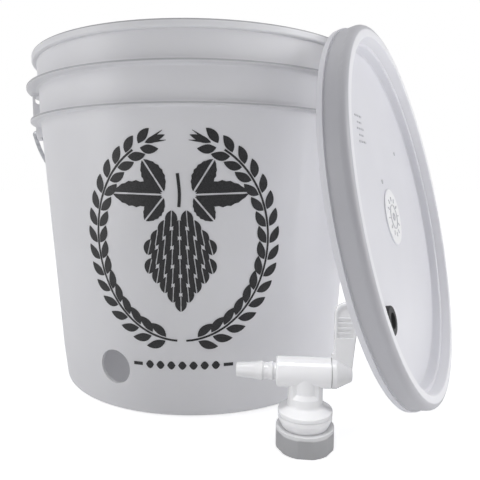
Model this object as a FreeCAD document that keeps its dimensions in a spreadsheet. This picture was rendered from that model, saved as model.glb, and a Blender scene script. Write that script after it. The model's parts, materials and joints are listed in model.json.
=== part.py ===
"""Plastic fermenting bucket with its wire bail, a lid with gasket and grommet, and a lever tap.

Millimetres, +Z up, origin at the centre of the bucket's foot. The bail hinges along X, -Y is the front.
The lid leans against the bucket's upper flange and the tap stands on its nut in front of the bucket.
"""
import FreeCAD, Part
import math
import os
import re

import Sketcher

Vector, Rotation, Placement = FreeCAD.Vector, FreeCAD.Rotation, FreeCAD.Placement
X_AXIS, Y_AXIS, Z_AXIS = Vector(1, 0, 0), Vector(0, 1, 0), Vector(0, 0, 1)
TOLERANCE = 0.01

# alias, value: millimetres, or degrees where the name ends in "angle"
SIZES = (
    # bucket shell
    ("bucket_height", 231.3),
    ("wall", 2.0),
    ("rim_radius", 121.5),
    ("mouth_radius", 116.2),
    ("bead_height", 4.6),
    ("bead_round", 1.2),
    ("neck_radius", 118.4),
    ("neck_foot_radius", 117.9),
    ("flange_top_radius", 125.5),
    ("flange_top_height", 208.3),
    ("flange_low_radius", 123.7),
    ("flange_low_height", 186.2),
    ("flange_thickness", 1.3),
    ("flange_root_round", 1.0),
    ("band_radius", 117.5),
    ("body_radius", 116.9),
    ("step_radius", 107.2),
    ("step_height", 26.7),
    ("base_radius", 104.6),
    ("base_round", 5.5),
    ("foot_width", 11.0),
    ("floor_lift", 2.5),
    ("floor_thickness", 2.4),
    ("floor_round", 5.0),
    # hole for the tap
    ("tap_hole_radius", 11.1),
    ("tap_hole_height", 29.8),
    ("tap_hole_angle", 30.7),
    # ears that hold the bail, and the webs between the flanges above them
    ("ear_root", 115.6),
    ("ear_reach", 124.3),
    ("ear_half_width", 6.6),
    ("ear_plate", 3.0),
    ("ear_web", 1.6),
    ("ear_pocket_gap", 0.4),
    ("ear_pocket_low", 170.0),
    ("pivot_height", 183.6),
    ("web_angle", 9.5),
    ("web_thickness", 2.0),
    ("web_reach", 123.0),
    ("web_root", 116.3),
    ("web_gap_radius", 3.0),
    ("web_gap_drop", 4.0),
    ("overlap", 0.2),
    # bail and its grip
    ("wire_radius", 1.5),
    ("pivot_clearance", 0.06),
    ("wire_head_radius", 2.2),
    ("wire_head_length", 1.2),
    ("wire_end", 119.6),
    ("bail_half_span", 127.8),
    ("bail_corner", 3.6),
    ("bail_leg", 8.0),
    ("bail_splay_angle", 6.0),
    ("bail_side_radius", 160.0),
    ("bail_side_angle", 35.0),
    ("bail_rest_angle", 56.2),
    ("grip_length", 92.0),
    ("grip_allowance", 2.0),
    ("grip_radius", 7.2),
    ("grip_collar_radius", 8.2),
    ("grip_collar_width", 3.2),
    ("grip_ring_width", 2.4),
    ("grip_ring_depth", 0.7),
    # lid, upright, from the lower edge of its skirt
    ("lid_height", 14.6),
    ("lid_lip_radius", 124.1),
    ("lid_lip_height", 3.0),
    ("lid_skirt_radius", 123.0),
    ("lid_skirt_inner", 121.8),
    ("lid_snap_radius", 121.0),
    ("lid_snap_low", 1.4),
    ("lid_snap_land", 0.5),
    ("lid_snap_high", 3.4),
    ("lid_crown_round", 4.2),
    ("lid_ridge_inner", 114.6),
    ("lid_ledge_outer", 113.6),
    ("lid_ledge_inner", 111.4),
    ("lid_ledge_height", 8.0),
    ("lid_panel_radius", 110.4),
    ("lid_panel_height", 1.7),
    ("lid_wall", 1.7),
    ("lid_panel_wall", 1.4),
    ("lid_plug_radius", 116.0),
    ("lid_disc_radius", 19.0),
    ("lid_disc_rise", 1.0),
    ("lid_azimuth_angle", 56.23),
    ("lid_lean_angle", 12.44),
    ("lid_reach", 145.7),
    ("lid_sideways", 9.6),
    # gasket in the lid's channel
    ("gasket_outer", 121.0),
    ("gasket_inner", 117.2),
    ("gasket_height", 1.8),
    # grommet in the lid's panel, for an airlock stem
    ("grommet_across", -60.0),
    ("grommet_along", -57.0),
    ("grommet_lift", 3.0),
    ("grommet_bore", 4.75),
    ("grommet_waist", 6.35),
    ("grommet_flange", 8.6),
    ("grommet_top", 3.0),
    ("grommet_bottom", 1.6),
    # tap, upright on its nut, from the nut's lower face
    ("tap_across", 55.5),
    ("tap_forward", 140.6),
    ("tap_turn_angle", 11.0),
    ("nut_height", 11.7),
    ("nut_corner_radius", 17.8),
    ("nut_flare_radius", 13.6),
    ("nut_round_radius", 15.9),
    ("nut_flange_height", 1.3),
    ("nut_flare_height", 3.2),
    ("nut_bore", 9.4),
    ("nut_groove_radius", 10.55),
    ("washer_height", 7.0),
    ("washer_bore", 10.6),
    ("washer_low_radius", 12.5),
    ("washer_top_radius", 14.8),
    ("washer_band", 2.4),
    ("shank_foot", 1.0),
    ("shank_bore", 5.5),
    ("thread_root", 9.0),
    ("thread_overlap", 0.3),
    ("thread_lead_in", 1.2),
    ("thread_runout", 1.5),
    ("thread_crest", 10.2),
    ("thread_pitch", 3.0),
    ("thread_root_width", 1.9),
    ("thread_crest_width", 0.9),
    ("thread_clearance", 0.3),
    ("tap_flange_radius", 14.9),
    ("tap_flange_thickness", 2.3),
    ("neck_radius_tap", 9.5),
    ("flare_height", 2.8),
    ("shoulder_height", 28.6),
    ("shoulder_rise", 2.4),
    ("neck_waist", 8.0),
    ("neck_block_half", 6.5),
    ("barrel_height", 41.4),
    ("barrel_radius", 8.2),
    ("barrel_round", 1.1),
    ("barrel_left", 15.8),
    ("barrel_right", 13.5),
    ("barrel_bore", 6.0),
    # valve: barbed spout, hollow plug, cap and lever in one piece
    ("spout_reach", 37.7),
    ("spout_bore", 2.6),
    ("spout_tip_radius", 3.9),
    ("spout_mid_radius", 4.5),
    ("spout_barb_radius", 5.3),
    ("plug_radius", 5.95),
    ("plug_start", 22.9),
    ("barb_one_foot", 13.1),
    ("barb_one_crest", 8.7),
    ("barb_one_back", 7.6),
    ("barb_two_foot", 5.6),
    ("barb_two_crest", 3.2),
    ("barb_two_back", 2.2),
    ("bore_depth", 42.0),
    ("port_radius", 3.4),
    ("cap_gap", 0.35),
    ("cap_band", 2.4),
    ("cap_end", 24.7),
    ("cap_end_radius", 4.0),
    ("lever_top", 80.6),
    ("lever_left", 15.0),
    ("lever_top_right", 28.4),
    ("lever_foot_right", 24.4),
    ("lever_thickness", 3.8),
    ("lever_round", 6.2),
    ("lever_edge_round", 0.7),
    ("recess_low", 61.4),
    ("recess_inset", 1.5),
    ("recess_depth", 0.7),
    ("rib_length", 7.4),
    ("rib_height", 0.9),
    ("rib_pitch", 2.7),
    ("rib_start", 2.2),
    ("rib_offset", 1.6),
    ("rib_rise", 0.45),
    ("stop_radius", 10.9),
    ("stop_width", 2.0),
    ("stop_thickness", 2.6),
)
RIB_COUNT = 4
LEVER_SIDES = (-1, 1)
EAR_SIDES = (0, 180)

doc = FreeCAD.newDocument("fermenting_bucket")
sheet = doc.addObject("Spreadsheet::Sheet", "Sizes")
ALIASES = {alias for alias, _ in SIZES}


def fill_sheet():
    """One row for each driving dimension: its name, then its value."""
    for row, (alias, number) in enumerate(SIZES, 1):
        sheet.set(f"A{row}", alias)
        sheet.set(f"B{row}", str(number))
        sheet.setAlias(f"B{row}", alias)
    doc.recompute()


def value(text):
    """The number that an expression over the sheet's aliases gives."""
    return float(sheet.evalExpression(str(text)))


def bind(thing, prop, text):
    """Ties a property to an expression over the sheet's aliases."""
    def qualified(word):
        return f"Sizes.{word.group(0)}" if word.group(0) in ALIASES else word.group(0)

    thing.setExpression(prop, re.sub(r"[a-z_]\w*", qualified, str(text)))


def plane(body, role):
    """One of a body's own origin planes."""
    return next(item for item in body.Origin.OriginFeatures if item.Role == role)


def closed_sketch(body, name, points):
    """A closed outline on the body's XZ plane, through (across, up) pairs of expressions."""
    sketch = body.newObject("Sketcher::SketchObject", name)
    sketch.AttachmentSupport = [(plane(body, "XZ_Plane"), "")]
    sketch.MapMode = "FlatFace"
    places = [Vector(value(across), value(up), 0) for across, up in points]
    for index, place in enumerate(places):
        following = places[(index + 1) % len(places)]
        sketch.addGeometry(Part.LineSegment(place, following), False)
    for index in range(len(places)):
        following = (index + 1) % len(places)
        sketch.addConstraint(Sketcher.Constraint("Coincident", index, 2, following, 1))
    for index, pair in enumerate(points):
        for kind, axis, text in zip(("DistanceX", "DistanceY"), (-2, -1), pair):
            if text == "0":
                sketch.addConstraint(Sketcher.Constraint("PointOnObject", index, 1, axis))
                continue
            dimension = Sketcher.Constraint(kind, -1, 1, index, 1, value(text))
            number = sketch.addConstraint(dimension)
            bind(sketch, f"Constraints[{number}]", text)
    return sketch


def turned(name, points):
    """A body turned about Z from a closed outline of (radius, height) pairs."""
    body = doc.addObject("PartDesign::Body", name)
    sketch = closed_sketch(body, f"{name}_outline", points)
    turn = body.newObject("PartDesign::Revolution", f"{name}_turn")
    turn.Profile = (sketch, [""])
    turn.ReferenceAxis = (sketch, ["V_Axis"])
    turn.Angle = 360
    doc.recompute()
    return body


def padded(name, points, thickness):
    """A body of an even thickness across Y, from a closed outline of (X, Z) pairs."""
    body = doc.addObject("PartDesign::Body", name)
    sketch = closed_sketch(body, f"{name}_outline", points)
    pad = body.newObject("PartDesign::Pad", f"{name}_pad")
    pad.Profile = (sketch, [""])
    bind(pad, "Length", thickness)
    pad.Midplane = True
    doc.recompute()
    return body


def round_edges(body, name, radius, wanted):
    """Rounds the edges of a body for which wanted(edge) holds."""
    edges = [f"Edge{n}" for n, edge in enumerate(body.Shape.Edges, 1) if wanted(edge)]
    if not edges:
        raise RuntimeError(f"{name}: no edge to round")
    sharp = body.Tip
    fillet = body.newObject("PartDesign::Fillet", name)
    fillet.Base = (sharp, edges)
    bind(fillet, "Radius", radius)
    doc.recompute()


def ring_at(*places):
    """A test for circles about Z with a (radius, height) pair among the places."""
    rings = [(value(radius), value(height)) for radius, height in places]

    def wanted(edge):
        if not isinstance(edge.Curve, Part.Circle):
            return False
        found = edge.Curve.Radius, edge.Curve.Center.z
        return any(abs(found[0] - r) < TOLERANCE and abs(found[1] - z) < TOLERANCE for r, z in rings)

    return wanted


def placed(thing, at=("0", "0", "0"), rotation=Rotation()):
    """Turns a piece and puts it at a point given by three expressions."""
    thing.Placement = Placement(Vector(*(value(text) for text in at)), rotation)
    for axis, text in zip("xyz", at):
        if text != "0":
            bind(thing, f"Placement.Base.{axis}", text)
    return thing


def cylinder(name, radius, height, at=("0", "0", "0"), rotation=Rotation()):
    """A cylinder that stands on a point, along the rotated Z."""
    piece = doc.addObject("Part::Cylinder", name)
    bind(piece, "Radius", radius)
    bind(piece, "Height", height)
    return placed(piece, at, rotation)


def block(name, sides, at, rotation=Rotation()):
    """A box with its lowest corner at a point, before any turn about that point."""
    piece = doc.addObject("Part::Box", name)
    for prop, text in zip(("Length", "Width", "Height"), sides):
        bind(piece, prop, text)
    return placed(piece, at, rotation)


def joined(name, pieces):
    """One solid from several that overlap."""
    result = doc.addObject("Part::MultiFuse", name)
    result.Shapes = list(pieces)
    return result


def cut(name, base, tool):
    """A solid with another taken away."""
    result = doc.addObject("Part::Cut", name)
    result.Base = base
    result.Tool = tool
    return result


def common(name, pieces):
    """What several solids share."""
    result = doc.addObject("Part::MultiCommon", name)
    result.Shapes = list(pieces)
    return result


def moved(name, thing, placement):
    """A full copy of a piece with a placement of its own."""
    copy = doc.copyObject(thing, True)
    copy.Label = name
    copy.Placement = placement
    return copy


def about_z(angle, height=0.0):
    """A turn about Z, with a rise."""
    return Placement(Vector(0, 0, height), Rotation(Z_AXIS, angle))


def wall_slope():
    """Degrees by which the body's wall leans out above its step."""
    run = value("body_radius - step_radius")
    return math.degrees(math.atan2(run, value("flange_low_height - step_height")))


def tap_hole_place():
    """Where the tap hole's axis crosses the middle of the wall, and its turn, +Z outwards."""
    lean = wall_slope()
    rise = value("tap_hole_height - step_height")
    outer = value("step_radius") + rise * math.tan(math.radians(lean))
    turn = Rotation(Z_AXIS, -90 - value("tap_hole_angle")) * Rotation(Y_AXIS, 90 + lean)
    middle = outer - value("wall") / 2
    around = Rotation(Z_AXIS, -90 - value("tap_hole_angle"))
    place = around.multVec(Vector(middle, 0, 0)) + Vector(0, 0, value("tap_hole_height"))
    return Placement(place, turn)


def bucket_shell():
    """The turned wall, floor, foot, flanges and rim bead."""
    floor_top = "floor_lift + floor_thickness"
    shell = turned("bucket_shell", (
        ("0", "floor_lift"),
        ("base_radius - foot_width", "floor_lift"),
        ("base_radius - foot_width", "0"),
        ("base_radius", "0"),
        ("step_radius", "step_height"),
        ("body_radius", "flange_low_height"),
        ("flange_low_radius", "flange_low_height"),
        ("flange_low_radius", "flange_low_height + flange_thickness"),
        ("band_radius", "flange_low_height + flange_thickness"),
        ("band_radius", "flange_top_height"),
        ("flange_top_radius", "flange_top_height"),
        ("flange_top_radius", "flange_top_height + flange_thickness"),
        ("neck_foot_radius", "flange_top_height + flange_thickness"),
        ("neck_radius", "bucket_height - bead_height"),
        ("rim_radius", "bucket_height - bead_height"),
        ("rim_radius", "bucket_height"),
        ("mouth_radius", "bucket_height"),
        ("body_radius - wall", "flange_low_height"),
        ("step_radius - wall", "step_height"),
        ("base_radius - wall", floor_top),
        ("0", floor_top),
    ))
    round_edges(shell, "foot_round", "base_round", ring_at(("base_radius", "0")))
    round_edges(shell, "floor_corner", "floor_round", ring_at(("base_radius - wall", floor_top)))
    round_edges(shell, "flange_roots", "flange_root_round", ring_at(
        ("body_radius", "flange_low_height"),
        ("band_radius", "flange_top_height"),
    ))
    round_edges(shell, "bead_edges", "bead_round", ring_at(
        ("rim_radius", "bucket_height"),
        ("rim_radius", "bucket_height - bead_height"),
        ("mouth_radius", "bucket_height"),
    ))
    return shell


def ear():
    """The +X ear: a plate with the pivot hole on two webs, open below, closed by the flange."""
    root, width = "ear_root", "2 * ear_half_width"
    depth = "ear_reach - ear_root"
    under = "flange_low_height + flange_thickness / 2"
    along_x = Rotation(Y_AXIS, 90)
    boss = cylinder("ear_boss", "ear_half_width", depth, (root, "0", "pivot_height"), along_x)
    head = block("ear_head", (depth, width, f"{under} - pivot_height"),
                 (root, "-ear_half_width", "pivot_height"))
    inner = "ear_half_width - ear_web"
    pocket = block(
        "ear_pocket",
        ("ear_reach - ear_plate - body_radius - ear_pocket_gap", f"2 * ({inner})",
         "flange_low_height - ear_pocket_low"),
        ("body_radius + ear_pocket_gap", f"-({inner})", "ear_pocket_low"),
    )
    hole = cylinder("ear_hole", "wire_radius + pivot_clearance", "2 * ear_plate",
                    ("ear_reach - 1.5 * ear_plate", "0", "pivot_height"), along_x)
    solid = joined("ear_solid", (boss, head))
    return cut("ear", solid, joined("ear_opening", (pocket, hole)))


def flange_web():
    """An upright web between the two flanges, with a gap by the wall under the upper flange."""
    low = "flange_low_height + flange_thickness / 2"
    high = "flange_top_height + flange_thickness / 2"
    plate = block("web_plate", ("web_reach - web_root", "web_thickness", f"{high} - ({low})"),
                  ("web_root", "-web_thickness / 2", low))
    gap = cylinder("web_gap", "web_gap_radius", "3 * web_thickness",
                   ("band_radius + web_gap_radius / 3", "1.5 * web_thickness",
                    "flange_top_height - web_gap_drop"),
                   Rotation(X_AXIS, 90))
    outer_band = cylinder("web_band", "band_radius - overlap", high)
    return cut("flange_web", plate, cut("web_gap_shape", gap, outer_band))


def bucket():
    """The one-piece pail: shell, both ears and the webs above them, with the tap hole."""
    pieces = [bucket_shell()]
    first_ear, first_web = ear(), flange_web()
    doc.recompute()
    for side in EAR_SIDES:
        pieces.append(moved(f"ear_{side}", first_ear, about_z(side)))
        for lean in (-value("web_angle"), value("web_angle")):
            pieces.append(moved(f"web_{side}_{lean:.0f}", first_web, about_z(side + lean)))
    place = tap_hole_place()
    drill = cylinder("tap_hole", "tap_hole_radius", "10 * wall")
    inward = place.Rotation.multVec(Z_AXIS) * value("5 * wall")
    drill.Placement = Placement(place.Base - inward, place.Rotation)
    return cut("bucket", joined("bucket_solid", pieces), drill)


def bail_plan():
    """Radius of the bail's shoulder bend, and how far the grip lies from the pivot line."""
    splay = math.radians(value("bail_splay_angle"))
    side = math.radians(value("bail_side_angle"))
    leg, long_radius = value("bail_leg"), value("bail_side_radius")
    across = value("bail_half_span") + leg * math.sin(splay) - value("grip_length / 2 + grip_allowance")
    across -= long_radius * (math.cos(splay) - math.cos(side))
    shoulder = across / math.cos(side)
    depth = leg * math.cos(splay) + long_radius * (math.sin(side) + math.sin(splay))
    return shoulder, depth + shoulder * (1 - math.sin(side))


def bent_path(start, heading, steps):
    """Edges in the XZ plane. Heading 0 is down and 90 is +X; a step is a length or (radius, turn)."""
    def ahead(angle):
        return Vector(math.sin(math.radians(angle)), 0, -math.cos(math.radians(angle)))

    edges, here = [], start
    for step in steps:
        if isinstance(step, tuple):
            radius, turn = step
            centre = here + ahead(heading + 90) * radius
            middle = centre - ahead(heading + 90 + turn / 2) * radius
            there = centre - ahead(heading + 90 + turn) * radius
            edges.append(Part.Arc(here, middle, there).toShape())
            heading += turn
        else:
            there = here + ahead(heading) * step
            edges.append(Part.LineSegment(here, there).toShape())
        here = there
    return edges


def bail_placement():
    """From the bail's own plane, where it hangs straight down, to its rest against the back."""
    return Placement(Vector(0, 0, value("pivot_height")), Rotation(X_AXIS, value("bail_rest_angle")))


def bail_wire():
    """Round wire bent to the bail's outline, with an upset head inside each ear."""
    radius, end = value("wire_radius"), value("wire_end")
    splay, side = value("bail_splay_angle"), value("bail_side_angle")
    corner = value("bail_corner")
    setback = corner * math.tan(math.radians((90 - splay) / 2))
    shoulder, _ = bail_plan()
    half = [
        value("bail_half_span") - setback - end,
        (corner, 90 - splay),
        value("bail_leg") - setback,
        (value("bail_side_radius"), splay + side),
        (shoulder, 90 - side),
    ]
    steps = half + [value("grip_length + 2 * grip_allowance")] + half[::-1]
    path = Part.Wire(bent_path(Vector(-end, 0, 0), -90, steps))
    section = Part.Wire(Part.Circle(Vector(-end, 0, 0), X_AXIS, radius).toShape())
    solid = path.makePipeShell([section], True, True)
    length = value("wire_head_length")
    for sign in (-1, 1):
        start = Vector(sign * end, 0, 0)
        head = Part.makeCylinder(value("wire_head_radius"), length, start, X_AXIS * sign)
        solid = solid.fuse(head)
    wire = doc.addObject("Part::Feature", "bail_wire")
    wire.Shape = solid.removeSplitter()
    wire.Placement = bail_placement()
    return wire


def bail_grip():
    """The roller grip on the straight middle of the bail, with a collar at each end."""
    bore = "wire_radius + pivot_clearance"
    ring, depth = "grip_ring_width", "grip_radius - grip_ring_depth"
    collar, width, length = "grip_collar_radius", "grip_collar_width", "grip_length"
    body = turned("bail_grip", (
        (bore, "0"),
        (collar, "0"),
        (collar, width),
        ("grip_radius", width),
        ("grip_radius", f"{width} + {ring}"),
        (depth, f"{width} + {ring}"),
        (depth, f"{width} + 2 * {ring}"),
        ("grip_radius", f"{width} + 2 * {ring}"),
        ("grip_radius", f"{length} - {width} - 2 * {ring}"),
        (depth, f"{length} - {width} - 2 * {ring}"),
        (depth, f"{length} - {width} - {ring}"),
        ("grip_radius", f"{length} - {width} - {ring}"),
        ("grip_radius", f"{length} - {width}"),
        (collar, f"{length} - {width}"),
        (collar, length),
        (bore, length),
    ))
    round_edges(body, "grip_ends", "grip_collar_width / 4", ring_at(
        (collar, "0"), (collar, width), (collar, f"{length} - {width}"), (collar, length)))
    _, depth_down = bail_plan()
    centred = Placement(Vector(-value("grip_length") / 2, 0, -depth_down), Rotation(Y_AXIS, 90))
    body.Placement = bail_placement().multiply(centred)
    return body


def lid_placement():
    """The lid on its edge on the floor, leaning back on the bucket's upper flange."""
    lean = value("lid_lean_angle")
    turn = Rotation(Z_AXIS, value("lid_azimuth_angle")) * Rotation(X_AXIS, 90 - lean)
    height = value("lid_lip_radius") * math.cos(math.radians(lean))
    away = Rotation(Z_AXIS, value("lid_azimuth_angle")).multVec(
        Vector(value("lid_sideways"), -value("lid_reach"), 0))
    return Placement(away + Vector(0, 0, height), turn)


def lid():
    """Press-on lid: skirt with a snap lip, ridge over the rim, plug wall and sunken panel."""
    ridge_under = "lid_height - lid_wall"
    panel_under = "lid_panel_height - lid_panel_wall"
    disc_top = "lid_panel_height + lid_disc_rise"
    body = turned("lid_body", (
        ("0", disc_top),
        ("lid_disc_radius", disc_top),
        ("lid_disc_radius", "lid_panel_height"),
        ("lid_panel_radius", "lid_panel_height"),
        ("lid_ledge_inner", "lid_ledge_height"),
        ("lid_ledge_outer", "lid_ledge_height"),
        ("lid_ridge_inner", "lid_height"),
        ("lid_skirt_radius", "lid_height"),
        ("lid_skirt_radius", "lid_lip_height"),
        ("lid_lip_radius", "lid_lip_height"),
        ("lid_lip_radius", "0"),
        ("lid_skirt_inner", "0"),
        ("lid_snap_radius", "lid_snap_low"),
        ("lid_snap_radius", "lid_snap_low + lid_snap_land"),
        ("lid_skirt_inner", "lid_snap_high"),
        ("lid_skirt_inner", ridge_under),
        ("lid_plug_radius", ridge_under),
        ("lid_ledge_outer + lid_wall", "lid_ledge_height - lid_wall"),
        ("lid_ledge_inner + lid_wall", "lid_ledge_height - lid_wall"),
        ("lid_panel_radius + lid_wall", panel_under),
        ("0", panel_under),
    ))
    round_edges(body, "crown_round", "lid_crown_round", ring_at(("lid_skirt_radius", "lid_height")))
    round_edges(body, "ridge_round", "lid_wall / 2", ring_at(
        ("lid_ridge_inner", "lid_height"),
        ("lid_panel_radius", "lid_panel_height"),
        ("lid_ledge_inner", "lid_ledge_height"),
    ))
    round_edges(body, "disc_round", "lid_disc_rise / 2", ring_at(("lid_disc_radius", disc_top)))
    hole = cylinder("grommet_hole", "grommet_waist", "lid_height",
                    ("grommet_across", "grommet_along", "-lid_height / 2"))
    result = cut("lid", body, hole)
    result.Placement = lid_placement()
    return result


def lid_gasket():
    """The sealing ring at the top of the lid's channel."""
    top = "lid_height - lid_wall"
    body = turned("lid_gasket", (
        ("gasket_inner", f"{top} - gasket_height"),
        ("gasket_outer", f"{top} - gasket_height"),
        ("gasket_outer", top),
        ("gasket_inner", top),
    ))
    round_edges(body, "gasket_round", "gasket_height / 3", ring_at(
        ("gasket_inner", f"{top} - gasket_height"), ("gasket_outer", f"{top} - gasket_height")))
    body.Placement = lid_placement()
    return body


def lid_grommet():
    """The rubber grommet in the lid's panel, bored for an airlock's stem.

    Its sketch is drawn grommet_lift higher, where every height is positive.
    """
    low = "lid_panel_height - lid_panel_wall"
    high = "lid_panel_height"
    body = turned("lid_grommet", (
        ("grommet_bore", f"{low} - grommet_bottom + grommet_lift"),
        ("grommet_flange", f"{low} - grommet_bottom + grommet_lift"),
        ("grommet_flange", f"{low} + grommet_lift"),
        ("grommet_waist", f"{low} + grommet_lift"),
        ("grommet_waist", f"{high} + grommet_lift"),
        ("grommet_flange", f"{high} + grommet_lift"),
        ("grommet_flange", f"{high} + grommet_top + grommet_lift"),
        ("grommet_bore", f"{high} + grommet_top + grommet_lift"),
    ))
    round_edges(body, "grommet_round", "grommet_bottom / 2", ring_at(
        ("grommet_flange", f"{high} + grommet_top + grommet_lift"),
        ("grommet_flange", f"{low} - grommet_bottom + grommet_lift"),
    ))
    seat = Vector(value("grommet_across"), value("grommet_along"), -value("grommet_lift"))
    body.Placement = lid_placement().multiply(Placement(seat, Rotation()))
    return body


def tap_placement():
    """The tap upright on its nut, its barrel turned a little towards the front."""
    place = Vector(value("tap_across"), -value("tap_forward"), 0)
    return Placement(place, Rotation(Z_AXIS, -value("tap_turn_angle")))


def thread_ridge(name, low, high, inner, outer, inner_width, outer_width):
    """A right-hand helical ridge about Z; its phase is set by the height alone."""
    pitch = value("thread_pitch")
    helix = Part.makeHelix(pitch, high - low, inner)
    corners = (
        Vector(inner, 0, -inner_width / 2),
        Vector(inner, 0, inner_width / 2),
        Vector(outer, 0, outer_width / 2),
        Vector(outer, 0, -outer_width / 2),
    )
    section = Part.makePolygon(corners + corners[:1])
    ridge = doc.addObject("Part::Feature", name)
    ridge.Shape = Part.Wire(helix).makePipeShell([section], True, True)
    ridge.Placement = about_z(360 * low / pitch, low)
    return ridge


def shank_thread():
    """The ridge on the tap's shank."""
    slope = value("thread_root_width - thread_crest_width") / value("thread_crest - thread_root")
    inner = value("thread_root - thread_overlap")
    return thread_ridge(
        "shank_thread",
        value("shank_foot + thread_lead_in"),
        value("nut_height + washer_height - thread_runout"),
        inner,
        value("thread_crest"),
        value("thread_root_width") + value("thread_overlap") * slope,
        value("thread_crest_width"),
    )


def nut_groove():
    """What the nut's thread leaves free: the shank's ridge with clearance all round."""
    slope = value("thread_root_width - thread_crest_width") / value("thread_crest - thread_root")
    inner, outer = value("nut_bore - overlap"), value("nut_groove_radius")
    spare = 2 * value("thread_clearance")

    def width(radius):
        return value("thread_crest_width") + (value("thread_crest") - radius) * slope + spare

    return thread_ridge("nut_groove", -value("thread_pitch"),
                        value("nut_height + thread_pitch"), inner, outer,
                        width(inner), width(outer))


def tap_body():
    """Threaded shank, flange, neck and open barrel, moulded in one piece."""
    top = "nut_height + washer_height"
    flange_top = f"{top} + tap_flange_thickness"
    shoulder = "shoulder_height + shoulder_rise"
    stem = turned("tap_stem", (
        ("shank_bore", "shank_foot"),
        ("thread_root", "shank_foot"),
        ("thread_root", top),
        ("tap_flange_radius", top),
        ("tap_flange_radius", flange_top),
        ("neck_radius_tap", f"{flange_top} + flare_height"),
        ("neck_radius_tap", "shoulder_height"),
        ("neck_waist", shoulder),
        ("neck_waist", "barrel_height"),
        ("shank_bore", "barrel_height"),
    ))
    round_edges(stem, "flange_round", "tap_flange_thickness / 4", ring_at(
        ("tap_flange_radius", top), ("tap_flange_radius", flange_top)))
    round_edges(stem, "flare_round", "flare_height / 2", ring_at(
        ("neck_radius_tap", f"{flange_top} + flare_height")))
    along_x = Rotation(Y_AXIS, 90)
    neck = common("neck_block", (
        cylinder("neck_round", "neck_radius_tap", "barrel_height - shoulder_height",
                 ("0", "0", "shoulder_height")),
        block("neck_slab",
              ("2 * neck_radius_tap", "2 * neck_block_half", "barrel_height - shoulder_height"),
              ("-neck_radius_tap", "-neck_block_half", "shoulder_height")),
    ))
    barrel = cylinder("barrel", "barrel_radius", "barrel_left + barrel_right",
                      ("-barrel_left", "0", "barrel_height"), along_x)
    doc.recompute()
    softened = doc.addObject("Part::Fillet", "barrel_soft")
    softened.Base = barrel
    softened.Edges = [
        (n, value("barrel_round"), value("barrel_round")) for n, edge in enumerate(barrel.Shape.Edges, 1)
        if isinstance(edge.Curve, Part.Circle) and edge.Curve.Center.x < 0
    ]
    bores = joined("tap_bores", (
        cylinder("barrel_bore", "barrel_bore", "2 * (barrel_left + barrel_right)",
                 ("-barrel_left - barrel_right", "0", "barrel_height"), along_x),
        cylinder("shank_bore", "shank_bore", "barrel_height"),
    ))
    solid = joined("tap_solid", (stem, neck, softened, shank_thread()))
    result = cut("tap_body", solid, bores)
    result.Placement = tap_placement()
    return result


def tap_nut():
    """Hexagonal nut with rounded corners, a flared face and an internal thread."""
    prism = doc.addObject("Part::Prism", "nut_prism")
    prism.Polygon = 6
    bind(prism, "Circumradius", "nut_corner_radius")
    bind(prism, "Height", "nut_height")
    trimmed = common("nut_hexagon", (
        prism,
        cylinder("nut_turning", "nut_round_radius", "nut_height"),
    ))
    flare_low = "nut_height - nut_flange_height - nut_flare_height"
    flare = turned("nut_flare", (
        ("0", flare_low),
        ("nut_flare_radius", flare_low),
        ("nut_round_radius", "nut_height - nut_flange_height"),
        ("nut_round_radius", "nut_height"),
        ("0", "nut_height"),
    ))
    bore = cylinder("nut_bore", "nut_bore", "nut_height + 4 * thread_pitch",
                    ("0", "0", "-2 * thread_pitch"))
    thread = joined("nut_thread", (bore, nut_groove()))
    result = cut("tap_nut", joined("nut_solid", (trimmed, flare)), thread)
    result.Placement = tap_placement()
    return result


def tap_washer():
    """The conical sealing washer between the tap's flange and the nut."""
    top = "nut_height + washer_height"
    body = turned("tap_washer", (
        ("washer_bore", "nut_height"),
        ("washer_low_radius", "nut_height"),
        ("washer_top_radius", f"{top} - washer_band"),
        ("washer_top_radius", top),
        ("washer_bore", top),
    ))
    round_edges(body, "washer_round", "washer_band / 4", ring_at(
        ("washer_top_radius", f"{top} - washer_band"), ("washer_top_radius", top)))
    body.Placement = tap_placement()
    return body


def lever_outline(left, right_low, right_top, low, top):
    """The lever's tapering outline, its right edge leaning out."""
    return ((left, low), (left, top), (right_top, top), (right_low, low))


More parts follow.
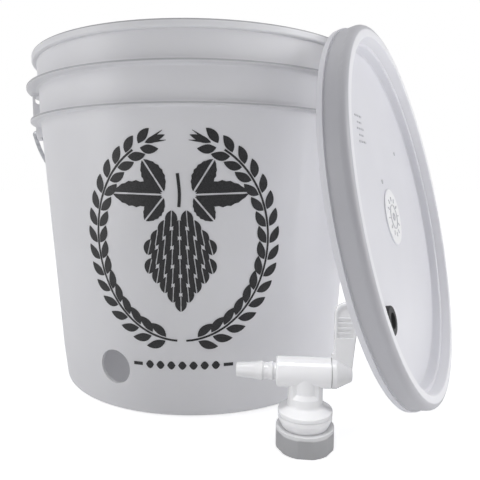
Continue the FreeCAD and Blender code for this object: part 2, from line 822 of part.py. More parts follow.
def lever():
    """Flat thumb lever with a rounded top and a ribbed recess on each face."""
    blade = padded("lever_blade", lever_outline(
        "lever_left", "lever_foot_right", "lever_top_right", "barrel_height", "lever_top"),
        "lever_thickness")
    top = value("lever_top")
    round_edges(blade, "lever_crown", "lever_round", lambda edge: edge.BoundBox.ZMin > top - TOLERANCE
                and edge.BoundBox.YLength > value("lever_thickness") - TOLERANCE)
    faces = value("lever_thickness") / 2
    round_edges(blade, "lever_edges", "lever_edge_round", lambda edge: (
        edge.BoundBox.YLength < TOLERANCE and abs(abs(edge.BoundBox.YMin) - faces) < TOLERANCE
        and edge.BoundBox.ZMax > value("barrel_height") + 1))
    recess = padded("lever_recess", lever_outline(
        "lever_left + recess_inset", "lever_foot_right + recess_inset / 2",
        "lever_top_right - recess_inset", "recess_low", "lever_top - recess_inset"),
        "2 * recess_depth")
    crown = value("lever_top - recess_inset")
    round_edges(recess, "recess_crown", "lever_round - recess_inset", lambda edge: (
        edge.BoundBox.ZMin > crown - TOLERANCE and edge.BoundBox.YLength > value("recess_depth")))
    doc.recompute()
    sunken = blade
    ribs = []
    middle = "(lever_left + lever_foot_right + rib_offset) / 2"
    for side in LEVER_SIDES:
        face = "lever_thickness / 2"
        tool = moved(f"recess_{side}", recess, Placement(Vector(0, side * faces, 0), Rotation()))
        sunken = cut(f"lever_sunk_{side}", sunken, tool)
        floor = f"({face} - recess_depth)"
        start = f"{floor} - overlap" if side > 0 else f"-({floor}) - rib_rise"
        for count in range(RIB_COUNT):
            height = f"recess_low + rib_start + {count} * rib_pitch"
            ribs.append(block(f"rib_{side}_{count}", ("rib_length", "rib_rise + overlap", "rib_height"),
                              (f"{middle} - rib_length / 2", start, height)))
    return joined("lever", [sunken] + ribs)


def tap_valve():
    """Barbed spout, hollow plug with its port, cap, stop and lever, moulded in one piece."""
    shift = "spout_reach"
    cap_start = f"{shift} + barrel_right + cap_gap"
    turned_part = turned("valve_stem", (
        ("spout_bore", "0"),
        ("spout_tip_radius", "0"),
        ("spout_mid_radius", "plug_start - barb_one_foot"),
        ("spout_barb_radius", "plug_start - barb_one_crest"),
        ("spout_mid_radius", "plug_start - barb_one_back"),
        ("spout_mid_radius", "plug_start - barb_two_foot"),
        ("spout_barb_radius", "plug_start - barb_two_crest"),
        ("spout_mid_radius", "plug_start - barb_two_back"),
        ("spout_mid_radius", "plug_start"),
        ("plug_radius", "plug_start"),
        ("plug_radius", cap_start),
        ("barrel_radius", cap_start),
        ("barrel_radius", f"{cap_start} + cap_band"),
        ("cap_end_radius", f"{shift} + cap_end"),
        ("0", f"{shift} + cap_end"),
        ("0", "bore_depth"),
        ("spout_bore", "bore_depth"),
    ))
    round_edges(turned_part, "cap_round", "cap_end_radius / 4", ring_at(
        ("cap_end_radius", f"{shift} + cap_end")))
    round_edges(turned_part, "tip_round", "spout_tip_radius / 8", ring_at(
        ("spout_tip_radius", "0"),
        ("spout_barb_radius", "plug_start - barb_one_crest"),
        ("spout_barb_radius", "plug_start - barb_two_crest"),
    ))
    turned_part.Placement = Placement(
        Vector(-value("spout_reach"), 0, value("barrel_height")), Rotation(Y_AXIS, 90))
    stop = block("valve_stop", ("stop_width", "stop_thickness", "stop_radius"),
                 ("barrel_right + cap_gap", "-stop_thickness / 2", "barrel_height"))
    port = cylinder("valve_port", "port_radius", "barrel_radius",
                    ("0", "0", "barrel_height - barrel_radius"))
    solid = joined("valve_solid", (turned_part, lever(), stop))
    result = cut("tap_valve", solid, port)
    result.Placement = tap_placement()
    return result


def check_document():
    """Stops if any object of the document failed."""
    for item in doc.Objects:
        if {"Invalid", "Error"} & set(item.State):
            raise RuntimeError(f"{item.Label} failed: {item.State}")


def export(nodes):
    """Writes one STEP file for each node, once its shape is found sound."""
    check_document()
    for node in nodes:
        shape = node.Shape
        if shape.isNull() or not shape.isValid() or not shape.Solids:
            raise RuntimeError(f"{node.Label} has no valid solid")
    os.makedirs("parts", exist_ok=True)
    for node in nodes:
        node.Shape.exportStep(os.path.join("parts", f"{node.Label}.step"))
        print(f"{node.Label}: {len(node.Shape.Solids)} solid, {node.Shape.Volume:.0f} mm3")


def build():
    """Makes every piece and writes it."""
    fill_sheet()
    makers = (bucket, bail_wire, bail_grip, lid, lid_gasket, lid_grommet,
              tap_body, tap_valve, tap_washer, tap_nut)
    nodes = []
    for maker in makers:
        node = maker()
        node.Label = maker.__name__
        nodes.append(node)
    doc.recompute()
    export(nodes)


build()
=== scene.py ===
"""Looks of the plastic fermenting bucket: studio, plastics, wire, rubber and printed wreath."""
import json
import math

import bpy
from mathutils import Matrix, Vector


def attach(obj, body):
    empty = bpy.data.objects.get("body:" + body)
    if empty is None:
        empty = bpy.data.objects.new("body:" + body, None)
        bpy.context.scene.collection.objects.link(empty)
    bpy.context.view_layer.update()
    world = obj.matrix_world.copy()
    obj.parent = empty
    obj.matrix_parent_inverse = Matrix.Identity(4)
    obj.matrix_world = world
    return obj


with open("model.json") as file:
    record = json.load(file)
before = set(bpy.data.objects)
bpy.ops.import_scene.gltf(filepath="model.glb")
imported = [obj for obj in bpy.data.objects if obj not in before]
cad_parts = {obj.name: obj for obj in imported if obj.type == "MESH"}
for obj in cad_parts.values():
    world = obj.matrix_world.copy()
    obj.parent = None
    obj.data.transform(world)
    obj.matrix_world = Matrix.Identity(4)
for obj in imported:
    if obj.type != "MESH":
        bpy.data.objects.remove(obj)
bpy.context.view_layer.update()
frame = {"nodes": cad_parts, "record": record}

MM = 0.001
CAMERA_PLACE = Vector((0.0, -0.3946, 0.1404))
CAMERA_YAW, CAMERA_PITCH = 0.0778, 0.1040
CAMERA_LENS, CAMERA_SENSOR, CAMERA_CLIP = 36.78, 36.0, 0.01
FLOOR_SIZE, FLOOR_DROP = 60.0, -0.0002
FLOOR_GLOW, FLOOR_SEEN = 0.13, 0.60
FLOOR_COLOR, FLOOR_ROUGHNESS = 0.93, 0.9
WORLD_FRONT, WORLD_BACK = (0.22, 0.22, 0.225), (0.70, 0.70, 0.72)
WHITE = (1.0, 1.0, 1.0, 1.0)

# the bucket's wall as a cone, and the print on it
WALL_LOW, WALL_LOW_RADIUS = 0.0267, 0.1072
WALL_HIGH, WALL_HIGH_RADIUS = 0.1862, 0.1169
WALL_SLOPE = (WALL_HIGH_RADIUS - WALL_LOW_RADIUS) / (WALL_HIGH - WALL_LOW)
PRINT_TURN = math.radians(-96.6)
PRINT_RADIUS, PRINT_HEIGHT = 0.1121, 0.1100
PRINT_SUNK, PRINT_PROUD = 0.00005, 0.00012

# the airlock bore's place on the lid, in millimetres from the lid's centre, and the lid's faces
BORE_ACROSS, BORE_ALONG, BORE_HEIGHT = -60.0, -57.0, 1.7
PANEL_HEIGHT, DISC_HEIGHT = 1.7, 2.7
MARK_SUNK, MARK_PROUD = 0.0001, 0.00035

# the narrowest half width that a printed shape has, in millimetres, and the segments of half a ring
THINNEST = 0.12
HALF_RING = 24

# the parts of the bucket's outside that take a painted shade line at the top edges of the flanges
# and the rim: low and high, in metres, and how far out
SHADE_LINE_HEIGHTS = ((0.2084, 0.2094), (0.1863, 0.1873), (0.2303, 0.2330))
SHADE_LINE_OUT = (0.1195, 0.1400)
SHADE_LINE_SOFT = 0.0002
# the colour of the painted shade lines
SHADE_LINE_COLOR = (0.42, 0.42, 0.44)

# the lid's rings of painted light and shade: distance from its axis, softness, height on the lip,
# softness and colour
LID_PAINTED_LIGHT_RINGS = (
    ((0.1192, 0.1300), 0.0008, (0.0034, 0.0300), 0.0008, (0.52, 0.52, 0.55)),  # ridge: painted shade
    ((0.1142, 0.1154), 0.0003, (0.0128, 0.0300), 0.0005, (0.97, 0.97, 0.98)),  # ridge's inner edge: painted highlight
    ((-0.0100, 0.0188), 0.0003, (0.0020, 0.0300), 0.0002, (0.93, 0.93, 0.94)),  # middle disc: painted highlight
    ((0.1134, 0.1190), 0.0006, (0.0060, 0.0300), 0.0008, (0.90, 0.90, 0.93)),  # inner wall: painted light
)
# the nut's rim height, its softness, and its colour: painted light that makes the nut's top lighter
NUT_RIM, NUT_RIM_SOFT, NUT_RIM_PAINTED_LIGHT = (0.0098, 0.0200), 0.0005, (0.66, 0.66, 0.67)

# plastic's clouding, gloss patches and grain: noise scales per metre, and the light that it passes
CLOUD_SCALE, GLOSS_SCALE, GRAIN_SCALE = 9.0, 60.0, 900.0
GRAIN_DEPTH, GRAIN_STRENGTH = 0.00005, 0.35
GLOW_RADIUS, GLOW_SCALE, PLASTIC_IOR = (1.0, 1.0, 0.9), 0.004, 1.5
RAMP_START, RAMP_END = 0.3, 0.7


# ---------------------------------------------------------------- camera, floor and light

def add_camera():
    """The camera at the height of the bucket's middle, looking a little down and to the right."""
    data = bpy.data.cameras.new("camera")
    data.lens = CAMERA_LENS
    data.sensor_width = CAMERA_SENSOR
    data.clip_start = CAMERA_CLIP
    camera = bpy.data.objects.new("camera", data)
    bpy.context.scene.collection.objects.link(camera)
    camera.location = CAMERA_PLACE
    look = Vector((
        math.sin(CAMERA_YAW) * math.cos(CAMERA_PITCH),
        math.cos(CAMERA_YAW) * math.cos(CAMERA_PITCH),
        -math.sin(CAMERA_PITCH),
    ))
    camera.rotation_euler = look.to_track_quat("-Z", "Y").to_euler()
    bpy.context.scene.camera = camera


def area_light(name, place, target, size, power, only):
    """A rectangular soft light; with names, it lights and is shaded by those objects alone."""
    data = bpy.data.lights.new(name, "AREA")
    data.shape = "RECTANGLE"
    data.size, data.size_y = size
    data.energy = power
    light = bpy.data.objects.new(name, data)
    bpy.context.scene.collection.objects.link(light)
    light.location = place
    light.rotation_euler = (Vector(target) - Vector(place)).to_track_quat("-Z", "Y").to_euler()
    if only:
        group = bpy.data.collections.new(name + "_group")
        for item in only:
            group.objects.link(bpy.data.objects[item])
        light.light_linking.receiver_collection = group
        light.light_linking.blocker_collection = group


def add_world():
    """A pale surround: bright behind the object and to its sides, dimmer in front."""
    world = bpy.data.worlds.new("surround")
    bpy.context.scene.world = world
    world.use_nodes = True
    nodes, links = world.node_tree.nodes, world.node_tree.links
    nodes.clear()
    output = nodes.new("ShaderNodeOutputWorld")
    seen = nodes.new("ShaderNodeBackground")
    seen.inputs["Color"].default_value = WHITE
    seen.inputs["Strength"].default_value = 1.0
    glow = nodes.new("ShaderNodeBackground")
    glow.inputs["Strength"].default_value = 1.0
    place = nodes.new("ShaderNodeTexCoord")
    split = nodes.new("ShaderNodeSeparateXYZ")
    ramp = nodes.new("ShaderNodeValToRGB")
    ramp.color_ramp.elements[0].position = 0.0
    ramp.color_ramp.elements[0].color = (*WORLD_FRONT, 1.0)
    ramp.color_ramp.elements[1].position = 1.0
    ramp.color_ramp.elements[1].color = (*WORLD_BACK, 1.0)
    spread = nodes.new("ShaderNodeMapRange")
    spread.inputs["From Min"].default_value = -1.0
    path = nodes.new("ShaderNodeLightPath")
    mix = nodes.new("ShaderNodeMixShader")
    links.new(place.outputs["Generated"], split.inputs[0])
    links.new(split.outputs["Y"], spread.inputs["Value"])
    links.new(spread.outputs["Result"], ramp.inputs["Fac"])
    links.new(ramp.outputs["Color"], glow.inputs["Color"])
    links.new(path.outputs["Is Camera Ray"], mix.inputs["Fac"])
    links.new(glow.outputs["Background"], mix.inputs[1])
    links.new(seen.outputs["Background"], mix.inputs[2])
    links.new(mix.outputs["Shader"], output.inputs["Surface"])


def add_floor():
    """A white floor that keeps only a faint shadow of the object."""
    bpy.ops.mesh.primitive_plane_add(size=FLOOR_SIZE, location=(0, 0, FLOOR_DROP))
    floor = bpy.context.active_object
    floor.name = "floor"
    material, shader = new_material("floor_white")
    tree = material.node_tree
    shader.inputs["Base Color"].default_value = (FLOOR_COLOR, FLOOR_COLOR, FLOOR_COLOR, 1.0)
    shader.inputs["Roughness"].default_value = FLOOR_ROUGHNESS
    shader.inputs["Emission Color"].default_value = WHITE
    path = tree.nodes.new("ShaderNodeLightPath")
    lift = spread(tree, path.outputs["Is Camera Ray"], FLOOR_GLOW, FLOOR_SEEN)
    tree.links.new(lift, shader.inputs["Emission Strength"])
    floor.data.materials.append(material)


# ---------------------------------------------------------------- materials

def new_material(name):
    """A node material and its Principled shader."""
    material = bpy.data.materials.new(name)
    material.use_nodes = True
    return material, material.node_tree.nodes["Principled BSDF"]


def noise(tree, scale, detail):
    """Noise over the object's own coordinates, in metres."""
    place = tree.nodes.new("ShaderNodeTexCoord")
    texture = tree.nodes.new("ShaderNodeTexNoise")
    texture.inputs["Scale"].default_value = scale
    texture.inputs["Detail"].default_value = detail
    tree.links.new(place.outputs["Object"], texture.inputs["Vector"])
    return texture.outputs["Fac"]


def ramp(tree, source, low, high):
    """A colour ramp between two colours over the middle of the source's range."""
    node = tree.nodes.new("ShaderNodeValToRGB")
    node.color_ramp.elements[0].position = RAMP_START
    node.color_ramp.elements[0].color = (*low, 1.0)
    node.color_ramp.elements[1].position = RAMP_END
    node.color_ramp.elements[1].color = (*high, 1.0)
    tree.links.new(source, node.inputs["Fac"])
    return node.outputs["Color"]


def spread(tree, source, low, high):
    """The source's 0 to 1 range mapped to another."""
    node = tree.nodes.new("ShaderNodeMapRange")
    node.inputs["To Min"].default_value = low
    node.inputs["To Max"].default_value = high
    tree.links.new(source, node.inputs["Value"])
    return node.outputs["Result"]


def bump(tree, shader, source, distance, strength):
    """Surface relief from a height source."""
    node = tree.nodes.new("ShaderNodeBump")
    node.inputs["Distance"].default_value = distance
    node.inputs["Strength"].default_value = strength
    tree.links.new(source, node.inputs["Height"])
    tree.links.new(node.outputs["Normal"], shader.inputs["Normal"])


def dot(tree, source, direction):
    """How far a point or a direction lies along a fixed direction."""
    node = tree.nodes.new("ShaderNodeVectorMath")
    node.operation = "DOT_PRODUCT"
    node.inputs[1].default_value = tuple(direction)
    tree.links.new(source, node.inputs[0])
    return node.outputs["Value"]


def math_node(tree, operation, first, second):
    """A Math node of one linked value with a linked or a fixed one."""
    node = tree.nodes.new("ShaderNodeMath")
    node.operation = operation
    tree.links.new(first, node.inputs[0])
    if isinstance(second, (int, float)):
        node.inputs[1].default_value = second
    else:
        tree.links.new(second, node.inputs[1])
    return node.outputs["Value"]


def band(tree, source, low, high, soft):
    """1 between two values and 0 outside them, with soft edges."""
    middle, half = (low + high) / 2, (high - low) / 2
    away = math_node(tree, "ABSOLUTE", math_node(tree, "SUBTRACT", source, middle), 0.0)
    node = tree.nodes.new("ShaderNodeMapRange")
    node.interpolation_type = "SMOOTHSTEP"
    node.inputs["From Min"].default_value = half + soft
    node.inputs["From Max"].default_value = max(0.0, half - soft)
    tree.links.new(away, node.inputs["Value"])
    return node.outputs["Result"]


def along_and_out(tree, centre, axis):
    """Height along an axis and distance from it, of the point being shaded."""
    place = tree.nodes.new("ShaderNodeTexCoord")
    offset = tree.nodes.new("ShaderNodeVectorMath")
    offset.operation = "SUBTRACT"
    offset.inputs[1].default_value = tuple(centre)
    tree.links.new(place.outputs["Object"], offset.inputs[0])
    height = dot(tree, offset.outputs["Vector"], axis)
    length = tree.nodes.new("ShaderNodeVectorMath")
    length.operation = "LENGTH"
    tree.links.new(offset.outputs["Vector"], length.inputs[0])
    square = math_node(tree, "POWER", length.outputs["Value"], 2.0)
    out = math_node(tree, "SUBTRACT", square, math_node(tree, "POWER", height, 2.0))
    return height, math_node(tree, "POWER", out, 0.5)


def tint(material, mask, color):
    """Blends a colour over a material's base colour where a mask is 1."""
    tree = material.node_tree
    shader = tree.nodes["Principled BSDF"]
    under = shader.inputs["Base Color"].links[0].from_socket
    node = tree.nodes.new("ShaderNodeMix")
    node.data_type = "RGBA"
    first, second = [socket for socket in node.inputs if socket.type == "RGBA"]
    blend = next(socket for socket in node.outputs if socket.type == "RGBA")
    tree.links.new(mask, node.inputs["Factor"])
    tree.links.new(under, first)
    second.default_value = (*color, 1.0)
    tree.links.new(blend, shader.inputs["Base Color"])


def painted_shade_lines(material):
    """Fine lines of painted shade round the bucket, at the top edges of the flanges and the rim."""
    tree = material.node_tree
    height, out = along_and_out(tree, (0, 0, 0), (0, 0, 1))
    outside = band(tree, out, *SHADE_LINE_OUT, SHADE_LINE_SOFT)
    for low, high in SHADE_LINE_HEIGHTS:
        line = math_node(tree, "MULTIPLY", band(tree, height, low, high, SHADE_LINE_SOFT), outside)
        # darkens each band: painted shade at the edge
        tint(material, line, SHADE_LINE_COLOR)


def lid_painted_light(material):
    """Rings of painted light and shade on the lid: painted shade on its ridge, painted highlights
    on the ridge's inner edge and the middle disc, painted light on the inner wall.
    """
    tree = material.node_tree
    centre, _, _, out = lid_frame()
    height, away = along_and_out(tree, centre, out)
    for reach, reach_soft, rise, rise_soft, color in LID_PAINTED_LIGHT_RINGS:
        ring = band(tree, away, *reach, reach_soft)
        layer = band(tree, height, *rise, rise_soft)
        # tints each ring with its painted light and shade
        tint(material, math_node(tree, "MULTIPLY", ring, layer), color)


def nut_painted_light(material):
    """A painted highlight: the nut's top rim is painted lighter."""
    tree = material.node_tree
    height, _ = along_and_out(tree, (0, 0, 0), (0, 0, 1))
    tint(material, band(tree, height, *NUT_RIM, NUT_RIM_SOFT), NUT_RIM_PAINTED_LIGHT)


def grey(level, blue=0.01):
    """A grey, a little blue unless asked otherwise."""
    return (level, level, level + blue)


def plastic(name, dark, light, gloss, glow):
    """Moulded plastic: faint clouding, uneven gloss, a fine grain and a little light inside."""
    material, shader = new_material(name)
    tree = material.node_tree
    clouds = noise(tree, CLOUD_SCALE, 3.0)
    tree.links.new(ramp(tree, clouds, dark, light), shader.inputs["Base Color"])
    tree.links.new(spread(tree, noise(tree, GLOSS_SCALE, 4.0), *gloss), shader.inputs["Roughness"])
    shader.inputs["Subsurface Weight"].default_value = glow
    shader.inputs["Subsurface Radius"].default_value = GLOW_RADIUS
    shader.inputs["Subsurface Scale"].default_value = GLOW_SCALE
    shader.inputs["IOR"].default_value = PLASTIC_IOR
    bump(tree, shader, noise(tree, GRAIN_SCALE, 2.0), GRAIN_DEPTH, GRAIN_STRENGTH)
    return material


def rubber(name, color, roughness):
    """Matt rubber with a dusty, finely pitted surface."""
    material, shader = new_material(name)
    tree = material.node_tree
    dusty = tuple(min(1.0, part * 1.6 + 0.01) for part in color)
    tree.links.new(ramp(tree, noise(tree, 150.0, 5.0), color, dusty), shader.inputs["Base Color"])
    shader.inputs["Roughness"].default_value = roughness
    bump(tree, shader, noise(tree, 2500.0, 3.0), 0.0001, 0.4)
    return material


def zinc_wire(name):
    """Zinc-plated wire: streaks along its length and duller patches."""
    material, shader = new_material(name)
    tree = material.node_tree
    shader.inputs["Metallic"].default_value = 1.0
    patches = noise(tree, 220.0, 5.0)
    zinc = ramp(tree, patches, (0.46, 0.47, 0.49), (0.64, 0.65, 0.67))
    tree.links.new(zinc, shader.inputs["Base Color"])
    tree.links.new(spread(tree, noise(tree, 700.0, 3.0), 0.22, 0.5), shader.inputs["Roughness"])
    bump(tree, shader, noise(tree, 1800.0, 3.0), 0.00008, 0.4)
    return material


def ink(name):
    """Screen-printed black ink: nearly even, with a slightly broken film."""
    material, shader = new_material(name)
    tree = material.node_tree
    film = noise(tree, 1400.0, 5.0)
    black = ramp(tree, film, (0.030, 0.030, 0.032), (0.006, 0.006, 0.007))
    tree.links.new(black, shader.inputs["Base Color"])
    tree.links.new(spread(tree, noise(tree, 300.0, 3.0), 0.42, 0.6), shader.inputs["Roughness"])
    bump(tree, shader, film, 0.00003, 0.3)
    return material


def paint_nodes():
    """Gives every CAD node its material."""
    looks = {
        "bucket": plastic("bucket_plastic", grey(0.72, 0.02), grey(0.78, 0.02), (0.34, 0.44), 0.25),
        "lid": plastic("lid_plastic", grey(0.74, 0.04), grey(0.80, 0.04), (0.26, 0.36), 0.2),
        "bail_grip": plastic("grip_plastic", grey(0.72), grey(0.79), (0.38, 0.5), 0.15),
        "bail_wire": zinc_wire("bail_steel"),
        "lid_grommet": rubber("grommet_rubber", (0.012, 0.012, 0.013), 0.55),
        "lid_gasket": rubber("gasket_rubber", (0.62, 0.62, 0.60), 0.8),
        "tap_washer": plastic("washer_plastic", grey(0.84), grey(0.90), (0.4, 0.5), 0.2),
        "tap_body": plastic("tap_plastic", grey(0.82), grey(0.88), (0.2, 0.3), 0.2),
        # the valve's plastic is a darker copy of the tap's: painted shade on the lever
        "tap_valve": plastic("valve_shaded_plastic", grey(0.74), grey(0.80), (0.2, 0.3), 0.2),
        # the nut's darker grey is painted shade on the tap's pale plastic
        "tap_nut": plastic("nut_shaded_plastic", grey(0.34), grey(0.41), (0.3, 0.42), 0.1),
    }
    painted_shade_lines(looks["bucket"])
    lid_painted_light(looks["lid"])
    nut_painted_light(looks["tap_nut"])
    for name, material in looks.items():
        slots = frame["nodes"][name].data.materials
        slots.clear()
        slots.append(material)


# ---------------------------------------------------------------- print and moulding marks

def on_wall(across, up, proud):
    """A point of the print: millimetres across and up from its centre, wrapped on the wall."""
    height = PRINT_HEIGHT + up * MM
    radius = WALL_LOW_RADIUS + (height - WALL_LOW) * WALL_SLOPE + proud
    turn = PRINT_TURN + across * MM / PRINT_RADIUS
    return (radius * math.cos(turn), radius * math.sin(turn), height)


def lid_frame():
    """The lid's centre on its lip's plane, and its three directions, from the airlock bore."""
    bore = next(mount for mount in frame["record"]["mounts"] if mount["name"] == "airlock_bore")
    out = Vector(bore["axis"]).normalized()
    level = Vector((0, 0, 1)).cross(out).normalized()
    along = out.cross(level)
    from_centre = level * BORE_ACROSS + along * BORE_ALONG + out * BORE_HEIGHT
    return Vector(bore["pos_m"]) - from_centre * MM, level, along, out


def on_lid(height):
    """A placer for the lid's face at a height in millimetres above the lip's plane."""
    centre, level, along, out = lid_frame()

    def place(across, up, proud):
        return centre + level * across * MM + along * up * MM + out * (height * MM + proud)

    return place


class Stencil:
    """Closed thin shapes that lie on a surface, gathered into one mesh."""

    def __init__(self, place, sunk, proud):
        self.place, self.sunk, self.proud = place, sunk, proud
        self.points, self.faces = [], []

    def blade(self, spine, widths):
        """A strip along a spine of (across, up) points, with a half width at each point."""
        rows = []
        for n, (here, width) in enumerate(zip(spine, widths)):
            before, after = spine[max(0, n - 1)], spine[min(len(spine) - 1, n + 1)]
            ahead = math.atan2(after[1] - before[1], after[0] - before[0])
            side = (-math.sin(ahead) * width, math.cos(ahead) * width)
            rows.append([(here[0] + k * side[0], here[1] + k * side[1]) for k in (1, 0, -1)])
        base, under = len(self.points), 3 * len(rows)
        for proud in (self.proud, -self.sunk):
            self.points += [tuple(self.place(*point, proud)) for row in rows for point in row]
        top = [[base + 3 * n + k for k in range(3)] for n in range(len(rows))]
        for near, far in zip(top, top[1:]):
            for k in (0, 1):
                quad = (near[k], near[k + 1], far[k + 1], far[k])
                self.faces += [quad, tuple(v + under for v in reversed(quad))]
            self.faces.append((far[0], far[0] + under, near[0] + under, near[0]))
            self.faces.append((near[2], near[2] + under, far[2] + under, far[2]))
        for ends, turn in ((top[0], 1), (top[-1], -1)):
            for k in (0, 1):
                quad = (ends[k], ends[k] + under, ends[k + 1] + under, ends[k + 1])
                self.faces.append(quad[::turn])

    def leaf(self, root, heading, length, width, bend=0.0, fullness=0.42, rows=9):
        """A pointed leaf or grain, widest at the fullness, its spine bent by degrees."""
        spine, widths, step = [root], [THINNEST], length / rows
        for n in range(1, rows + 1):
            turn = math.radians(heading + bend * (n / rows - 0.5))
            across, up = spine[-1]
            spine.append((across + step * math.cos(turn), up + step * math.sin(turn)))
            widths.append(max(THINNEST, width / 2 * bulge(n / rows, fullness)))
        self.blade(spine, widths)

    def split_leaf(self, root, heading, length, width, gap, teeth=0.0, rows=12, fullness=0.5):
        """A leaf in two halves beside an open midrib, with toothed outer edges if asked."""
        turn = math.radians(heading)
        ahead, side = (math.cos(turn), math.sin(turn)), (-math.sin(turn), math.cos(turn))
        for half in (-1, 1):
            spine, widths = [], []
            for n in range(rows + 1):
                part = n / rows
                tooth = 1 + teeth * (1 if n % 2 else -1)
                reach = max(2 * THINNEST, width / 2 * bulge(part, fullness) * tooth)
                off = half * (gap / 2 + reach / 2)
                spine.append((root[0] + ahead[0] * length * part + side[0] * off,
                              root[1] + ahead[1] * length * part + side[1] * off))
                widths.append(reach / 2)
            self.blade(spine, widths)

    def line(self, points, width):
        """A line of even width."""
        self.blade(points, [width / 2] * len(points))

    def ring(self, across, up, radius, width):
        """A circular line in two halves that meet end to end."""
        for start in (0, 180):
            turns = [math.radians(start + 180 * n / HALF_RING) for n in range(HALF_RING + 1)]
            arc = [(across + radius * math.cos(t), up + radius * math.sin(t)) for t in turns]
            self.line(arc, width)

    def finish(self, name, material, body):
        """Makes the gathered shapes one object that rides on a body."""
        mesh = bpy.data.meshes.new(name)
        mesh.from_pydata(self.points, [], self.faces)
        mesh.materials.append(material)
        piece = bpy.data.objects.new(name, mesh)
        bpy.context.scene.collection.objects.link(piece)
        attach(piece, body)


def bulge(part, fullness):
    """Half width of a leaf, 0 to 1, at a part of its length."""
    rise = part / fullness if part < fullness else (1 - part) / (1 - fullness)
    return math.sin(math.pi / 2 * max(0.0, rise)) ** 0.8


def barley_branch(art, side):
    """One half of the wreath: a bowed stem with paired grains, awns at its tip."""
    reach, tall, low, high, pairs = 53.0, 1.13, -79.0, 66.0, 16
    stem_steps, stem_width = 40, 1.2
    grain_length, grain_width, taper, splay = 12.6, 5.2, 2.2, 29

    def at(turn, out=0.0):
        turn = math.radians(turn)
        return side * (reach + out) * math.cos(turn), (reach + out) * tall * math.sin(turn)

    def heading(turn):
        return turn if side > 0 else 180 - turn

    stem = [at(low - 8 + n * (high + 3 - low) / stem_steps) for n in range(stem_steps + 1)]
    art.line(stem, stem_width)
    for n in range(pairs):
        turn = low + (high - low) * n / (pairs - 1)
        size = grain_length - taper * n / pairs
        for out, lean in ((1.2, -splay), (-1.2, splay)):
            bend = -lean * 0.9 * side
            art.leaf(at(turn, out), heading(turn + 90 + lean), size, grain_width, bend, 0.45)
    tip = at(high + 4)
    for lean, width in ((-14, 1.2), (0, 3.8), (14, 1.2)):
        art.leaf(tip, heading(high + 94 + lean), 12.0, width)


def hop_cone(art):
    """The middle motif: a hop cone of split bracts under two lobed leaves."""
    cone_top, row_step, bract_step = 18.0, 5.6, 8.4
    for row, count in enumerate((2, 3, 4, 5, 4, 5, 4, 3, 2, 1)):
        up = cone_top - row * row_step
        for k in range(count):
            across = (k - (count - 1) / 2) * bract_step
            art.split_leaf((across, up), -90 + across * 0.9, 9.4, 6.6, gap=0.5)
    leaf_root, lobe_start = (7.5, 27), 2.2
    for side in (-1, 1):
        for lean, length, width in ((2, 30, 14.0), (58, 21, 11.5), (-50, 17, 10.0)):
            heading = lean if side > 0 else 180 - lean
            turn = math.radians(heading)
            root = (side * leaf_root[0] + lobe_start * math.cos(turn),
                    leaf_root[1] + lobe_start * math.sin(turn))
            art.split_leaf(root, heading, length, width, gap=0.9, teeth=0.05, rows=14)
    stalk = [(0.5 * math.sin(n * 0.5), 20 + n * 2.4) for n in range(9)]
    art.line(stalk, 1.8)


def foot_line(art):
    """A row of lozenges and dashes below the wreath."""
    row, lozenge, step = -75.5, 5.2, 7.0
    for k in range(-3, 4):
        art.leaf((k * step - lozenge / 2, row), 0, lozenge, lozenge, fullness=0.5, rows=8)
    for side in (-1, 1):
        art.line([(side * (26.0 + n * 1.5), row) for n in range(5)], 2.0)


def add_print():
    """The wreath printed on the front of the bucket."""
    art = Stencil(on_wall, PRINT_SUNK, PRINT_PROUD)
    for side in (-1, 1):
        barley_branch(art, side)
    hop_cone(art)
    foot_line(art)
    art.finish("print_wreath", ink("print_ink"), "bucket")


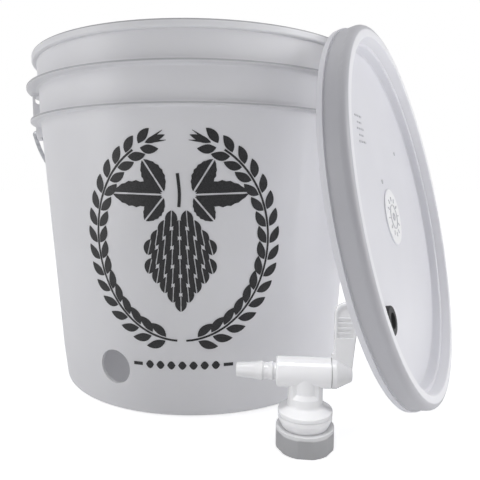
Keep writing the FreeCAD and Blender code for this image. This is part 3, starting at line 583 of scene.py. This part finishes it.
def add_lid_marks():
    """Raised moulding marks on the lid: rings and ticks on the disc, bars and nubs on the panel."""
    # the marks' plastic is a darker copy of the lid's: painted shade on the raised marks
    material = plastic("lid_mark_shaded_plastic", grey(0.56, 0.03), grey(0.64, 0.03), (0.26, 0.36), 0.1)
    marks = Stencil(on_lid(DISC_HEIGHT), MARK_SUNK, MARK_PROUD)
    marks.ring(0, 0, 8.0, 0.7)
    marks.ring(0, 0, 2.2, 1.0)
    ticks = 12
    for n in range(ticks):
        turn = math.radians(360 / ticks * n)
        tick = [(r * math.cos(turn), r * math.sin(turn)) for r in (10.5, 12.0, 13.5)]
        marks.line(tick, 0.8)
    marks.finish("lid_disc_marks", material, "lid")
    marks = Stencil(on_lid(PANEL_HEIGHT), MARK_SUNK, MARK_PROUD)
    bars_left, bars_top, bar_step, row_step, half_bar = -47.0, 64.0, 5.0, 4.0, 1.8
    for row in range(5):
        up = bars_top - row * row_step
        for column in range(3 - row % 2):
            left = bars_left + (column + row % 2 / 2) * bar_step
            marks.line([(left + n * half_bar, up) for n in range(3)], 1.1)
    for across, up in ((44.7, 45.9), (-9.9, 24.0)):
        marks.ring(across, up, 0.9, 1.0)
    marks.finish("lid_panel_marks", material, "lid")


def add_lights():
    """Three soft studio lights, one more for the bucket alone and two for the tap alone."""
    bucket = [frame["nodes"]["bucket"].name, "print_wreath"]
    tap_nodes = ("tap_body", "tap_valve", "tap_washer", "tap_nut")
    tap = [frame["nodes"][name].name for name in tap_nodes]
    for name, place, target, size, power, only in (
        ("left_softbox", (-0.95, -0.40, 0.35), (0, 0, 0.12), (0.40, 0.9), 2.8, ()),
        ("right_softbox", (1.0, -0.35, 0.5), (0.05, 0, 0.1), (0.6, 0.9), 4.5, ()),
        ("top_softbox", (0.1, 0.1, 1.1), (0.05, 0, 0.1), (0.9, 0.9), 1.2, ()),
        ("bucket_fill", (0.95, -0.27, 0.15), (0.05, 0, 0.10), (0.4, 0.65), 3.7, bucket),
        ("tap_key", (0.0, -0.30, 0.75), (0.05, -0.14, 0.04), (0.16, 0.16), 2.7, tap),
        ("tap_front", (-0.25, -0.75, 0.12), (0.05, -0.14, 0.03), (0.2, 0.4), 0.5, tap),
    ):
        area_light(name, place, target, size, power, only)


add_camera()
add_world()
add_floor()
paint_nodes()
add_print()
add_lid_marks()
add_lights()
bpy.context.scene.view_settings.view_transform = "Standard"
